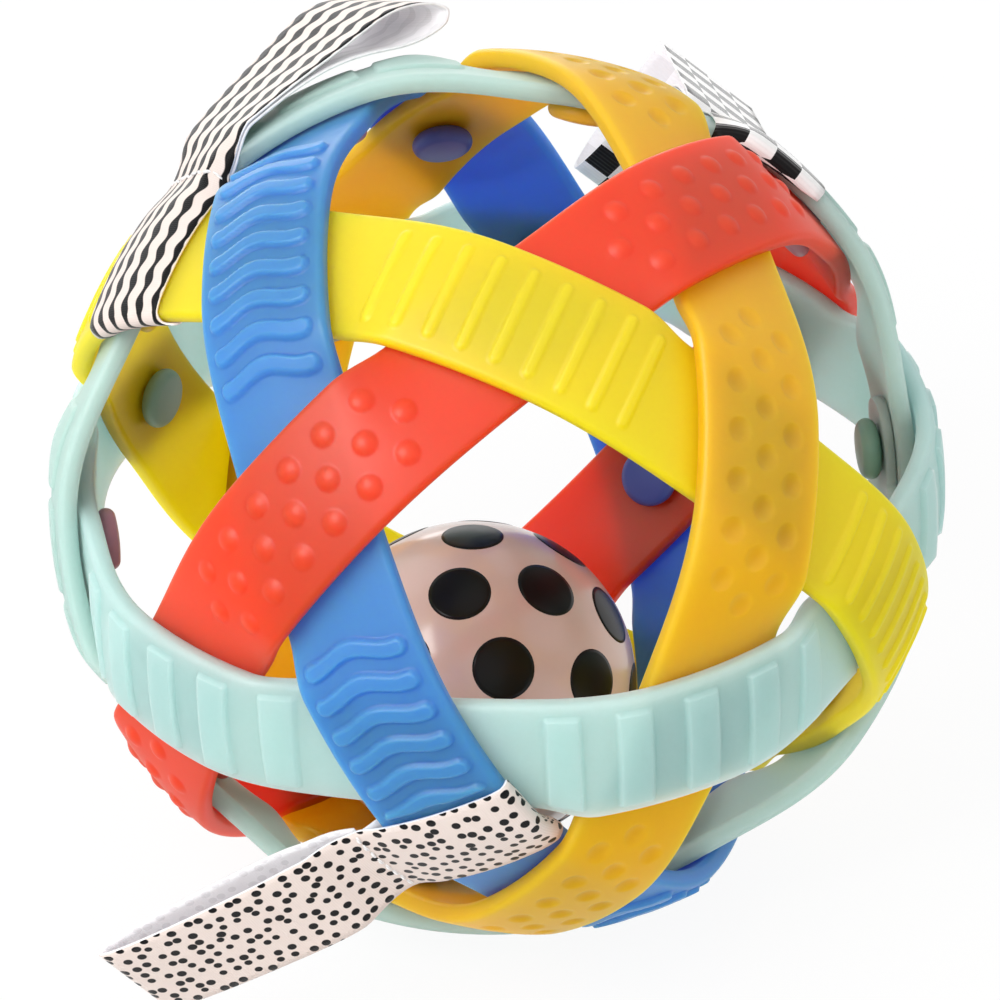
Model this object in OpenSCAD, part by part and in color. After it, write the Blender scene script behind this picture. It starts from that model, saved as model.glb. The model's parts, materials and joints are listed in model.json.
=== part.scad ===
// Woven sensory ball: six strips run on six great circles and pass over and under one another at
// thirty crossings. A stud on the over strip goes through the under strip at each crossing. A hollow
// rattle ball lies loose inside, and three ribbon loops are sewn round strips.
// The table is the plane z = 0 and the cage centre is above the origin.

/* [Cage] */
// Radius of the cage to the middle of the strips
cage_r = 61; // [58:0.5:66]
// Inner radius of the small triangular opening that three strips leave
tri_gap = 2.05; // [1.8:0.05:3]
// Thickness of a strip
band_t = 2.8; // [2.4:0.1:3.2]
// Radial gap between two strips at a crossing
cross_gap = 0.4; // [0.3:0.05:0.8]
// Width at a strip's rounded edges that its crossing plateau leaves out
edge_relief = 0.8; // [0.5:0.1:1.2]

/* [Strip ends] */
// Thickness of the thin tongue that laps inside the strip's other end
tongue_t = 1.3; // [1:0.1:1.6]
// Width of the tongue
tongue_w = 13; // [11:0.5:15]
// Angle that the tongue reaches past its stud
tongue_reach = 8; // [7:0.5:9]
// Angle from the stud back to the slit at a strip's square end
slit_reach = 4.5; // [4.4:0.1:5]
// Gap between the two lapped ends
tongue_gap = 0.3; // [0.2:0.05:0.5]
// Angle of the slit at a strip's square end
lap_slit = 0.6; // [0.4:0.1:1]

/* [Studs] */
// Diameter of a stud head
head_d = 9; // [8:0.25:10]
// Height of a stud head
head_h = 2.8; // [2.2:0.1:3]
// Diameter of a stud shank
shank_d = 4.6; // [4:0.1:5.4]
// Radial clearance of a shank in the under strip
shank_play = 0.2; // [0.15:0.05:0.4]
// Depth of the socket that holds a shank in the over strip
socket_depth = 1.5; // [1.2:0.1:1.6]
// Clearance of a shank in its socket
socket_play = 0.1; // [0.05:0.05:0.2]
// Clearance between a stud head and the strip on it
head_play = 0.05; // [0.05:0.05:0.3]
// Diameter of the small nub on a stud head
nub_d = 3; // [2:0.1:4]
// Height of that nub
nub_h = 0.2; // [0.1:0.05:0.5]

/* [Rattle ball] */
// Diameter of the rattle ball
ball_d = 48.4; // [46:0.2:49]
// Wall thickness of the rattle ball
ball_wall = 2.2; // [1.8:0.1:2.6]
// Height of the ball above the table
ball_lift = 0.3; // [0.2:0.1:0.6]
// Clearance between the ball and the strip or stud that it leans on
ball_gap = 0.9; // [0.6:0.05:1.6]
// Direction in which it leans
ball_side = 172; // [160:1:184]
// Tilt of the seam's axis from the vertical
seam_tilt = 43; // [20:1:70]
// Turn of the seam's axis about the vertical
seam_turn = -106; // [-180:1:180]
// Width of the seam groove
seam_gap = 0.4; // [0.2:0.1:0.8]
// Height of the step lap at the seam
seam_lap = 2; // [1.5:0.1:3]
// Clearance inside the step lap
seam_play = 0.1; // [0.05:0.05:0.2]
// Diameter of a rattle bead
bead_d = 6; // [4:0.2:6.4]
// Gap between the beads and from the beads to the wall
bead_gap = 0.15; // [0.1:0.05:0.3]

/* [Ribbons] */
// Width of a ribbon where it lies on a strip
wrap_w = 15.5; // [13:0.5:16]
// Width of a ribbon loop
tail_w = 17.5; // [15:0.5:18]
// Thickness of a ribbon
ribbon_t = 0.5; // [0.4:0.05:0.7]
// Gap between a ribbon and its strip
ribbon_gap = 0.25; // [0.2:0.05:0.5]
// Width of a ribbon where it is gathered in the narrow gap beside a crossing
pinch_w = 4.6; // [3.6:0.2:5]
// Distance of a seam from the strip edge
stitch_out = 3.6; // [3:0.2:4.4]
// Length of a ribbon loop
tail_l = 41; // [36:1:46]
// Opening between the two layers of the widest loop
loop_open = 22; // [18:0.5:24]
// Gap between a loop and the ribbon part that it is sewn to
sew_gap = 0.5; // [0.4:0.05:0.8]
// Diameter of the sewing thread
thread_d = 0.5; // [0.4:0.05:0.6]

/* [Hidden] */
$fn = 48;

// Weave: crossings follow every 36 degrees, and neighbouring strip planes are tilted by atan 2
cross_step = 36;
mid = cross_step / 2;
band_tilt = atan(2);
station_step = cross_step / 10;

// Width of a strip: three strips close in on a triangle and leave its opening free
band_w = 2 * (cage_r * tan(mid) / tan(60) - tri_gap);
weave = (band_t + cross_gap) / 2;
cross_reach = asin((band_w / 2 - edge_relief) / sin(band_tilt) / cage_r);

// Strips: direction of each tilted strip's axis, and the number of the crossing that holds its lap
SAGE = 0;
BLUE = 1;
LEMON = 2;
CORAL = 3;
AMBER = 4;
MINT = 5;
turns = [-90, -18, 54, 126, 198];
laps = [2, 2, 1, 2, 2, 4];

// Depth of the flat facets of a strip's inner face inside the round surface
facet_sag = pow((band_w - band_t) / 2, 2) / 8 / cage_r;

// Derived radii at a crossing
over_in = cage_r + weave - band_t / 2;
under_in = cage_r - weave - band_t / 2;
head_sag = under_in - sqrt(pow(under_in, 2) - pow(head_d / 2, 2));
seat_r = under_in - head_sag - facet_sag - head_play;
lap_drop = tongue_gap + tongue_t;

// Height of the cage centre, from the lowest point of a tilted strip
rest_h = max([for (i = [SAGE : AMBER]) for (s = stations(laps[i])) for (q = section(s[1], s[2], s[3]))
    strip_drop(on_strip(s[0], q[0], q[1]))]);

// Ball and beads
ball_r = ball_d / 2;
lean = lean_points();
ball_low = ball_r + ball_lift;
ball_z = ball_room([0, 0, ball_low]) > ball_gap ? ball_low : ball_rise(ball_low, rest_h, 12);
ball_offset = ball_lean(0, cage_r, 14);
ball_at = [ball_offset * cos(ball_side), ball_offset * sin(ball_side), ball_z];
bead_ring = ball_r - ball_wall - bead_gap - bead_d / 2;
bead_tilt = 2 * asin((bead_d + bead_gap) / 2 / bead_ring);

// Ribbons: strip, angle on the strip, side of the loop, shift along the strip as a share of its radius,
// share of that shift on the inner side, lift and sag of the loop as shares of its length, its twist at
// the tip, its opening as a share of the widest one, the power that moves the opening to the tip, the
// side on which the opening hangs, 0 on both and 1 below, and the loop's drift along the strip as a
// share of its length
DOTS = [BLUE, mid, -1, -0.0755, 0.8, 0.18, 0, -7, 0.16, 0.8, 0, 0];
WAVES = [LEMON, 6 * cross_step + mid, 1, -0.1016, 0.8, 0, 0.4, 24, 0.22, 4.5, 0, 0];
CHECK = [SAGE, 6 * cross_step + mid, -1, -0.118, 0.5, 0.12, 0, 0, 1, 4, 1, 0.06];
fold_top = 60;
fold_step = 30;
fold_start = 5;
fold_gather = 35;
edge_h = band_t / 2 + facet_sag + ribbon_gap + ribbon_t / 2;
seam_y = band_w / 2 + stitch_out;
seam_h = edge_h * 0.6;
pinch_shift = -0.26 * pinch_w;
tail_tip = 4 * ribbon_t;
stitch_inset = 2 * thread_d;

// Colours
sage = [0.66, 0.76, 0.72];
mauve = [0.52, 0.38, 0.44];
mint = [0.72, 0.85, 0.82];
mint_grey = [0.45, 0.58, 0.52];
blue = [0.33, 0.57, 0.82];
lemon = [0.98, 0.88, 0.22];
amber = [0.92, 0.66, 0.17];
coral = [0.93, 0.33, 0.22];
cream = [0.9, 0.83, 0.78];
black = [0.1, 0.1, 0.1];
white = [0.97, 0.96, 0.95];

// Points of the tilted strips' inner faces and of the stud heads below the cage centre
function lean_points() = concat(
    [for (i = [SAGE : AMBER]) for (a = [0 : station_step : 180])
        for (q = section(band_w / 2, -band_t / 2, band_t / 2))
        if (q[1] <= 0) placed(i, on_strip(a, q[0], q[1]))],
    [for (i = [SAGE : AMBER]) for (k = [0 : 2]) for (m = [0.5, 1]) for (t = [0 : 30 : 330])
        let (r = seat_r - on_lap(i, k) * lap_drop - m * head_h, w = head_d / 2 - (m - 0.5) * head_h)
        placed(i, turned([r, w * cos(t), w * sin(t)], 2 * cross_step * k))]);

// Point of strip i's own frame in the cage
function placed(i, p) = first_of(i) * p[0] + third_of(i) * p[1] + axis_of(i) * p[2] + [0, 0, rest_h];
function turned(p, a) = [p[0] * cos(a) - p[1] * sin(a), p[0] * sin(a) + p[1] * cos(a), p[2]];

// Room round a ball centre, lowest height with enough of it, and furthest offset with enough of it
function ball_room(c) = min([for (p = lean) norm(p - c)]) - ball_r;
function ball_rise(low, high, n) = n == 0 ? high : let (m = (low + high) / 2)
    ball_room([0, 0, m]) > ball_gap ? ball_rise(low, m, n - 1) : ball_rise(m, high, n - 1);
function ball_lean(near, far, n) = n == 0 ? near : let (m = (near + far) / 2)
    ball_room([m * cos(ball_side), m * sin(ball_side), ball_z]) > ball_gap ? ball_lean(m, far, n - 1)
    : ball_lean(near, m, n - 1);

// Side of the mid line: 1 after an over crossing, -1 after an under crossing
function sense(k) = k - 2 * floor(k / 2) == 0 ? 1 : -1;

// Smooth step from -1 to 1
function ease(x) = sin(90 * max(-1, min(1, x)));

// Weave position of a strip, 1 over to -1 under, at an angle along it and an angle across it
function swing(a, b) =
    let (k = floor(a / cross_step), s = sense(k), free = max(1.5, mid - cross_reach - s * b / 2))
    -s * ease((a - cross_step * k - mid) / free);

// Point of a strip: angle along it, distance across it, height above its middle surface
function on_strip(a, y, h) =
    let (b = asin(y / cage_r), r = cage_r + weave * swing(a, b) + h)
    [r * cos(b) * cos(a), r * cos(b) * sin(a), r * sin(b)];

// Depth of a strip point below the cage centre when the strip is tilted
function strip_drop(p) = p[1] * sin(band_tilt) - p[2] * cos(band_tilt);

// Rounded cross section of a strip: half width, lower and upper height
function section(half, low, high) =
    let (r = (high - low) / 2, m = (high + low) / 2, f = half - r, q = r * sqrt(0.5))
    [[-f, high], [0, high], [f, high], [f + q, m + q], [half, m], [f + q, m - q],
     [f, low], [0, low], [-f, low], [-f - q, m - q], [-half, m], [-f - q, m + q]];

// Faces of a tube through n rings of m points, with two flat ends
function tube_faces(n, m) = concat(
    [for (i = [0 : n - 2]) for (j = [0 : m - 1]) [i * m + j, i * m + (j + 1) % m, (i + 1) * m + j]],
    [for (i = [0 : n - 2]) for (j = [0 : m - 1])
        [i * m + (j + 1) % m, (i + 1) * m + (j + 1) % m, (i + 1) * m + j]],
    [for (j = [2 : m - 1]) [1, (j + 1) % m, j]],
    [for (j = [2 : m - 1]) [(n - 1) * m + 1, (n - 1) * m + j, (n - 1) * m + (j + 1) % m]]);

// Faces of a ring through n sections of m points
function ring_faces(n, m) = concat(
    [for (i = [0 : n - 1]) for (j = [0 : m - 1])
        [i * m + j, i * m + (j + 1) % m, ((i + 1) % n) * m + j]],
    [for (i = [0 : n - 1]) for (j = [0 : m - 1])
        [i * m + (j + 1) % m, ((i + 1) % n) * m + (j + 1) % m, ((i + 1) % n) * m + j]]);

// Stations of a strip from its square end round to the rounded tip of its tongue
function stations(lap) =
    let (a0 = cross_step * (2 * lap + 1) - slit_reach, a1 = a0 + 360 - lap_slit,
         tip = slit_reach + tongue_reach, n = ceil((a1 - a0) / station_step),
         low = -band_t / 2, high = band_t / 2,
         deep = low - lap_drop, top = low - tongue_gap, full = band_w / 2, thin = tongue_w / 2)
    concat(
        [for (i = [0 : n - 2]) [a0 + i * (a1 - 4 - a0) / (n - 2), full, low, high]],
        [[a1 - 1.6, full, deep, high], [a1 - 0.2, full, deep, high], [a1, thin, deep, top]],
        [for (i = [1 : 4]) [a1 + i * (tip - 2) / 4, thin, deep, top]],
        [[a1 + tip - 0.8, thin * 0.88, deep, top], [a1 + tip, thin * 0.62, deep, top]]);

// One strip, open at its lap, with holes at the under crossings and sockets at the over crossings
module strip(lap) {
    list = stations(lap);
    rings = [for (s = list) for (q = section(s[1], s[2], s[3])) on_strip(s[0], q[0], q[1])];
    difference() {
        polyhedron(rings, tube_faces(len(list), 12), convexity = 8);
        for (k = [0 : 4]) {
            rotate([0, 90, cross_step * (2 * k + 1)])
                translate([0, 0, under_in - lap_drop - band_t])
                cylinder(r = shank_d / 2 + shank_play, h = 4 * band_t);
            rotate([0, 90, cross_step * 2 * k])
                translate([0, 0, over_in - band_t])
                cylinder(r = shank_d / 2 + socket_play, h = band_t + socket_depth);
        }
    }
}

// Places strip number i, whose own axis is z, on the cage
module on_cage(i) {
    translate([0, 0, rest_h])
        rotate([0, 0, i == MINT ? 0 : turns[i]])
        rotate([0, i == MINT ? 0 : band_tilt, 0])
        rotate([0, 0, i == MINT ? 0 : -90])
        children();
}

// Axis, over-crossing direction and third direction of strip i
function axis_of(i) = i == MINT ? [0, 0, 1]
    : [sin(band_tilt) * cos(turns[i]), sin(band_tilt) * sin(turns[i]), cos(band_tilt)];
function first_of(i) = i == MINT ? [1, 0, 0] : [sin(turns[i]), -cos(turns[i]), 0];
function third_of(i) = cross(axis_of(i), first_of(i));

// 1 where the stud at over crossing k of strip i goes through the lap of the strip below it
function on_lap(i, k) =
    let (c = first_of(i) * cos(2 * cross_step * k) + third_of(i) * sin(2 * cross_step * k))
    max([for (j = [0 : 5]) j == i || abs(c * axis_of(j)) > 0.01 ? 0
        : first_of(j) * c * cos(lap_angle(j)) + third_of(j) * c * sin(lap_angle(j)) > 0.99 ? 1 : 0]);
function lap_angle(j) = cross_step * (2 * laps[j] + 1);

// One stud on its own axis, z outward: shank, rounded head and nub
module stud(drop) {
    face = seat_r - drop;
    top = over_in + socket_depth - socket_play;
    rotate_extrude()
        intersection() {
            union() {
                translate([0, face - head_h])
                    square([head_d / 2 - head_h / 2, head_h]);
                translate([head_d / 2 - head_h / 2, face - head_h / 2])
                    circle(head_h / 2);
                translate([0, face - head_h / 2])
                    square([shank_d / 2, top - face + head_h / 2]);
                translate([0, face - head_h - nub_h])
                    square([nub_d / 2, head_h]);
            }
            translate([0, face - 2 * head_h])
                square([head_d, top - face + 2 * head_h]);
        }
}

// The five studs of strip i
module studs(i) {
    on_cage(i)
        for (k = [0 : 4])
            rotate([0, 90, 2 * cross_step * k])
                stud(on_lap(i, k) * lap_drop);
}

// Half plane cut of the ball wall, between two radii and above a height
module wall_cut(r_in, r_out, low, high) {
    intersection() {
        difference() {
            circle(r_out);
            circle(r_in);
        }
        translate([0, low])
            square([r_out, high - low]);
    }
}

// Frame of the ball, z along the seam's axis
module on_ball() {
    translate(ball_at)
        rotate([0, seam_tilt, seam_turn])
        children();
}

// Height and slope of a loop's middle line at a distance from its base
function tail_rise(tag, u) = tag[5] * u - tag[6] * u * u / tail_l;
function tail_slope(tag, u) = tag[5] - 2 * tag[6] * u / tail_l;

// Distance of a loop's layer from its middle line: side 1 above it, -1 below it
function tail_open(tag, u, side) = side * ribbon_t * 0.65
    + (side - tag[10]) * tag[8] * loop_open / 2 * pow(sin(180 * pow(min(1, u / tail_l), tag[9])), 1.3);

// Point of a loop's layer
function tail_side(tag, u, side) =
    let (m = tail_slope(tag, u), e = tail_open(tag, u, side) / norm([m, 1]))
    [u - m * e, tail_rise(tag, u) + e];

// Closed line round a loop: upper layer out, lower layer back
tail_n = 14;
function tail_u(i) = sew_gap + ribbon_t + (tail_l - tail_tip) * sin(90 * i / tail_n);
function tail_line(tag) = concat(
    [for (i = [0 : tail_n]) tail_side(tag, tail_u(i), 1)],
    [let (u = tail_l + 1.2 * ribbon_t) [u, tail_rise(tag, u)]],
    [for (i = [tail_n : -1 : 0]) tail_side(tag, tail_u(i), -1)],
    [[sew_gap + ribbon_t * 0.3, tail_rise(tag, sew_gap)]]);

// Unit normal to the left of a closed line at its point i
function line_normal(line, i) =
    let (n = len(line), d = line[(i + 1) % n] - line[(i + n - 1) % n], l = norm(d))
    [-d[1] / l, d[0] / l];

// Angle on the strip of a distance along it from a tag's middle
function tag_angle(tag, s) = tag[1] + s / cage_r * 180 / PI;

// Frame at a tag's seam: x out along the loop, y along the strip, z up from the strip
module at_seam(tag) {
    a = tag_angle(tag, tag[3] * cage_r);
    on_cage(tag[0])
        translate(on_strip(a, tag[2] * seam_y, seam_h))
        rotate([0, 0, a])
        multmatrix([[0, 0, 1, 0], [0, -tag[2], 0, 0], [tag[2], 0, 0, 0], [0, 0, 0, 1]])
        children();
}

// Ribbon loop beyond the seam
module tail(tag) {
    line = tail_line(tag);
    n = len(line);
    rings = [for (i = [0 : n - 1]) let (p = line[i], d = line_normal(line, i) * ribbon_t / 2)
        for (q = [[1, 1], [-1, 1], [-1, -1], [1, -1]])
            let (twist = tag[7] * p[0] / tail_l, y = q[1] * tail_w / 2)
            [p[0] + q[0] * d[0], y * cos(twist) + tag[11] * p[0], p[1] + q[0] * d[1] + y * sin(twist)]];
    at_seam(tag)
        polyhedron(rings, ring_faces(n, 4), convexity = 8);
}

// Line of a ribbon round its strip: [across, height, middle along the strip, half width]
// It is gathered on the side of the small triangle: at the seam of a loop there, or else at the far edge
function wrap_line(tag) =
    let (f = band_w / 2 - band_t / 2, s = tag[3] * cage_r, w = wrap_w / 2, p = pinch_w / 2, e = edge_h,
         at_seam = tag[2] > 0, wide = tag[4] * s,
         far = at_seam ? w : p, near = at_seam ? p : w,
         far_s = at_seam ? wide : pinch_shift, near_s = at_seam ? pinch_shift : wide)
    concat(
        [[seam_y - ribbon_t, seam_h + ribbon_t * 0.8, s, w]],
        [[f + band_t * 0.6, e, s, w]],
        [for (x = [0.9, 0.6, 0.3, 0, -0.3, -0.6, -0.9]) [f * x, e, s, w]],
        [for (t = [fold_top : -fold_step : -fold_top])
            let (m = max(0, min(1, (fold_start - t) / fold_gather)))
            [-f - e * cos(t), e * sin(t), s + (far_s - s) * m, w + (far - w) * m]],
        [for (x = [-0.9, -0.6, -0.3, 0, 0.3, 0.6, 0.9]) let (m = (x + 0.9) / 1.8)
            [f * x, -e, far_s + (near_s - far_s) * m, far + (near - far) * m]],
        [[f + band_t * 0.6, -e * 0.9, near_s, near]],
        [[seam_y - ribbon_t, seam_h - ribbon_t * 0.8, near_s, near]]);

// Section of a wrap: side of the ribbon and place across its width
wrap_section = concat([for (x = [1, 0.5, 0, -0.5, -1]) [1, x]], [for (x = [-1, -0.5, 0, 0.5, 1]) [-1, x]]);

// Ribbon round the strip, up to the seam
module wrap(tag) {
    line = wrap_line(tag);
    n = len(line);
    flat = [for (p = line) [p[0], p[1]]];
    rings = [for (i = [0 : n - 1]) let (p = line[i], d = line_normal(flat, i) * ribbon_t / 2)
        for (q = wrap_section)
            on_strip(tag_angle(tag, p[2] + q[1] * p[3] * tag[2]),
                tag[2] * (p[0] + q[0] * d[0]), p[1] + q[0] * d[1])];
    on_cage(tag[0])
        polyhedron(rings, ring_faces(n, len(wrap_section)), convexity = 8);
}

// Row of stitches along the seam
stitch_n = 8;
stitch_x = sew_gap + 3 * ribbon_t;
module stitches(tag) {
    pitch = (tail_w - 2 * stitch_inset) / stitch_n;
    at_seam(tag)
        for (i = [0 : stitch_n - 1])
            translate([stitch_x, stitch_inset - tail_w / 2 + pitch * (i + 0.15),
                tail_rise(tag, stitch_x) + tail_open(tag, stitch_x, 1) + 0.7 * ribbon_t + thread_d / 2])
            rotate([-90, 0, 0])
            cylinder(d = thread_d, h = pitch * 0.7);
}

module sage_band() {
    color(sage) on_cage(SAGE) strip(laps[SAGE]);
}

module blue_band() {
    color(blue) on_cage(BLUE) strip(laps[BLUE]);
}

module lemon_band() {
    color(lemon) on_cage(LEMON) strip(laps[LEMON]);
}

module coral_band() {
    color(coral) on_cage(CORAL) strip(laps[CORAL]);
}

module amber_band() {
    color(amber) on_cage(AMBER) strip(laps[AMBER]);
}

module mint_band() {
    color(mint) on_cage(MINT) strip(laps[MINT]);
}

module sage_studs() {
    color(mauve) studs(SAGE);
}

module blue_studs() {
    color(blue) studs(BLUE);
}

module lemon_studs() {
    color(lemon) studs(LEMON);
}

module coral_studs() {
    color(coral) studs(CORAL);
}

module amber_studs() {
    color(amber) studs(AMBER);
}

module mint_studs() {
    color(mint_grey) studs(MINT);
}

module ball_front_shell() {
    color(cream)
        on_ball()
        rotate_extrude() {
            wall_cut(ball_r - ball_wall, ball_r, 0, ball_r);
            wall_cut(ball_r - ball_wall, ball_r - (ball_wall + seam_play) / 2, -seam_lap, 1);
        }
}

module ball_back_shell() {
    color(cream)
        on_ball()
        rotate_extrude()
        difference() {
            wall_cut(ball_r - ball_wall, ball_r, -ball_r, -seam_gap);
            wall_cut(0, ball_r - (ball_wall - seam_play) / 2, -seam_lap - seam_play, 0);
        }
}

module rattle_beads() {
    color(coral)
        translate(ball_at) {
            translate([0, 0, -bead_ring])
                sphere(d = bead_d);
            for (k = [0 : 5])
                rotate([0, bead_tilt, 60 * k])
                    translate([0, 0, -bead_ring])
                    sphere(d = bead_d);
        }
}

module dots_wrap() {
    color(cream) wrap(DOTS);
}

module dots_stitches() {
    color(white) stitches(DOTS);
}

module dots_tail() {
    color(cream) tail(DOTS);
}

module waves_wrap() {
    color(cream) wrap(WAVES);
}

module waves_stitches() {
    color(white) stitches(WAVES);
}

module waves_tail() {
    color(cream) tail(WAVES);
}

module check_wrap() {
    color(black) wrap(CHECK);
}

module check_stitches() {
    color(white) stitches(CHECK);
}

module check_tail() {
    color(black) tail(CHECK);
}

sage_band();
blue_band();
lemon_band();
coral_band();
amber_band();
mint_band();
sage_studs();
blue_studs();
lemon_studs();
coral_studs();
amber_studs();
mint_studs();
ball_front_shell();
ball_back_shell();
rattle_beads();
dots_wrap();
dots_stitches();
dots_tail();
waves_wrap();
waves_stitches();
waves_tail();
check_wrap();
check_stitches();
check_tail();
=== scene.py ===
"""Woven sensory ball: six soft strips on great circles, studs at their crossings, a loose dotted
rattle ball inside and three ribbon loops sewn round strips."""
import json
import math
from collections import namedtuple

import bmesh
import bpy
import numpy as np
from bpy.props import FloatProperty, FloatVectorProperty, IntProperty, PointerProperty
from bpy.types import Operator, Panel, PropertyGroup
from mathutils import Matrix, Vector


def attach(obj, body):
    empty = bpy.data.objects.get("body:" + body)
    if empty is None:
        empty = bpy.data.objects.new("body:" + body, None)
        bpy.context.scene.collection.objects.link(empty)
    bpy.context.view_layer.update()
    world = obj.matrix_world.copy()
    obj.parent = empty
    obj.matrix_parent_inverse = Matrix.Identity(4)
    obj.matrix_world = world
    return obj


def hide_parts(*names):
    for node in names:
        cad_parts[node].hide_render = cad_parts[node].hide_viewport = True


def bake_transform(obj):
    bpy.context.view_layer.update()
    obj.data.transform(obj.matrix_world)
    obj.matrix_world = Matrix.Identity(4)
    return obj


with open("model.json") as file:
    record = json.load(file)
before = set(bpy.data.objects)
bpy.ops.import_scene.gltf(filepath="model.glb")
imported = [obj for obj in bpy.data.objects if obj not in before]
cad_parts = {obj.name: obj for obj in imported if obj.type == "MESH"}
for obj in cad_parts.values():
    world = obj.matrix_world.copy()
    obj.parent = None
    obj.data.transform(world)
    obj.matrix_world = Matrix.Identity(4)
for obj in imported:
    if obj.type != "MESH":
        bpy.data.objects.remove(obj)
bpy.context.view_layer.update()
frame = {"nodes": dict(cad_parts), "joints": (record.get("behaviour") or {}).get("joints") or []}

bl_info = {
    "name": "Woven sensory ball",
    "version": (1, 0, 0),
    "blender": (4, 5, 0),
    "location": "View3D > Sidebar > Sensory ball",
    "description": "Builds a woven ball of soft strips with a rattle ball and ribbon loops",
    "category": "Add Mesh",
}

MM = 0.001
STRIPS = ("sage", "blue", "lemon", "coral", "amber", "mint")
TURNS = {"sage": -90, "blue": -18, "lemon": 54, "coral": 126, "amber": 198}
LAPS = {"sage": 2, "blue": 2, "lemon": 1, "coral": 2, "amber": 2, "mint": 4}
# Shares of the depth that red, green and blue light reach in a strip, where they differ
DEPTHS = {"coral": (1, 0.35, 0.3), "blue": (0.35, 0.45, 1), "amber": (1, 0.8, 0.5), "lemon": (0.8, 0.8, 0.4)}
EVEN_DEPTHS = (1, 1, 1)
CROSS_STEP = 36.0
MID = CROSS_STEP / 2
TILT = math.degrees(math.atan(2))

# Counts of relief forms in a field, their soft edges in millimetres, and the power that shapes a dome
WAVES_BESIDE, RIBS, BARS, PADS, DOMES = 4, 9, 5, 3, (6, 7, 6)
RIB_SOFT, BAR_SOFT, PAD_SOFT, SOFT_START = 0.5, 0.3, 0.6, 0.15
BAR_CORNER, PAD_CORNER, WAVE_SHIFT, DOME_POWER = 0.35, 1.2, 0.4, 0.95
# Half the length along a strip that a ribbon keeps free of relief, and the length of its fade
COVER, COVER_FADE = 8.6, 1.0

# Along a strip in degrees: slit between its ends, slope down to the tongue and its run, rounded tip of the
# tongue, reach of the relief from an over crossing, and steps between sections on the relief and elsewhere
SLIT, SLOPE, SLOPE_RUN, ROUND_TIP = 0.6, 4, 2.2, 5
RELIEF_REACH, FINE_STEP, COARSE_STEP = 20.5, 0.25, 0.9
# Rounded start of a strip: degrees along it, millimetres off each edge and off each face
ROUND_START = ((0, 0.5, 0.45), (0.12, 0.2, 0.2), (0.35, 0, 0))
# Points of a section: outer face, inner face and each rounded corner
OUTER, INNER, CORNER = 60, 11, 7

# Ribbons: shift along the strip as a share of its radius, and the share of it that holds inside; lift, sag
# and drift of the loop as shares of its length; twist at its tip; opening as a share of the widest one and
# the power that moves it to the tip; hang 1 where the loop opens downwards; millimetres that the ribbon
# spreads along the strip beyond its wrap width; share of its width that the seam draws in
Tag = namedtuple("Tag", "strip angle side shift inner lift sag twist opening power hang drift spread gather")
TAGS = {
    "dots": Tag(strip="blue", angle=MID, side=-1, shift=-0.0755, inner=0.8, lift=0.18, sag=0.0, twist=-7,
                opening=0.16, power=0.8, hang=0, drift=0.0, spread=0.0, gather=0.03),
    "waves": Tag(strip="lemon", angle=6 * CROSS_STEP + MID, side=1, shift=-0.1016, inner=0.8, lift=0.0,
                 sag=0.4, twist=24, opening=0.22, power=4.5, hang=0, drift=0.0, spread=-1.5, gather=0.16),
    "check": Tag(strip="sage", angle=6 * CROSS_STEP + MID, side=-1, shift=-0.118, inner=0.5, lift=0.12,
                 sag=0.0, twist=0, opening=1.0, power=4.0, hang=1, drift=0.06, spread=-1.8, gather=0.0),
}
WRAP_ROWS, LOOP_ROWS, COLUMNS = 110, 170, 15
# Millimetres from the seam over which a loop widens, is drawn in, leaves the curve of the strip and puffs up
WIDEN, DRAW_IN, LEAVE, PUFF = 12, 7, 9, 4
# Half the distance between the layers of a closed loop
LAYER = 0.3
# Places on the ribbon texture: start of the printed side, start of the plain side and width of each
PRINT_START, PLAIN_START, SIDE_WIDTH = 0.02, 0.52, 0.46
# Distances from the seam of the stitches and of the start and end of the bending part
STITCHES_OUT, BEND_START, BEND_END = 0.6, -0.6, 1.8

# View of the photograph: directions to the right, up and back to the camera, its distance and its shift
VIEW_RIGHT = Vector((0.9886, -0.1403, -0.042))
VIEW_UP = Vector((0.1178, 0.5886, 0.799))
VIEW_BACK = Vector((-0.0879, -0.7962, 0.599))
VIEW_DISTANCE = 0.7527
VIEW_SHIFT = (0.0043, -0.0059)
# Floor: half its side, its drop below the part, and how much of it shows as plain white
FLOOR_HALF, FLOOR_DROP, FLOOR_WHITE = 4, 0.0003, 0.93
# Turn of the ball's dots, as an axis with the angle as its length, and the direction that has no dot
DOT_TURN = Vector((1.95840785, -0.43573096, -1.43784924))
BARE_SPOT = (-0.43, 0.11, 0.9)


def length(name, text, default):
    """A size in metres, given in millimetres."""
    return FloatProperty(name=name, description=text, default=default * MM, unit="LENGTH", precision=5)


def relief(form, size, default):
    """A size of one of the moulded forms on the strips, in millimetres."""
    text = f"{size} of the {form}s on their strip"
    return length(f"{form} {size}".capitalize(), text.capitalize(), default)


def angle(name, text, default):
    """An angle, given in degrees."""
    return FloatProperty(name=name, description=text, default=math.radians(default), subtype="ANGLE")


def colour(name, what, r, g, b):
    """The linear colour of something, given in the 8-bit values of a screen."""
    def linear(v):
        v /= 255
        return v / 12.92 if v <= 0.04045 else ((v + 0.055) / 1.055) ** 2.4
    return FloatVectorProperty(name=name, description=f"Colour of {what}", subtype="COLOR", size=3,
                               min=0, max=1, default=(linear(r), linear(g), linear(b)))


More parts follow.
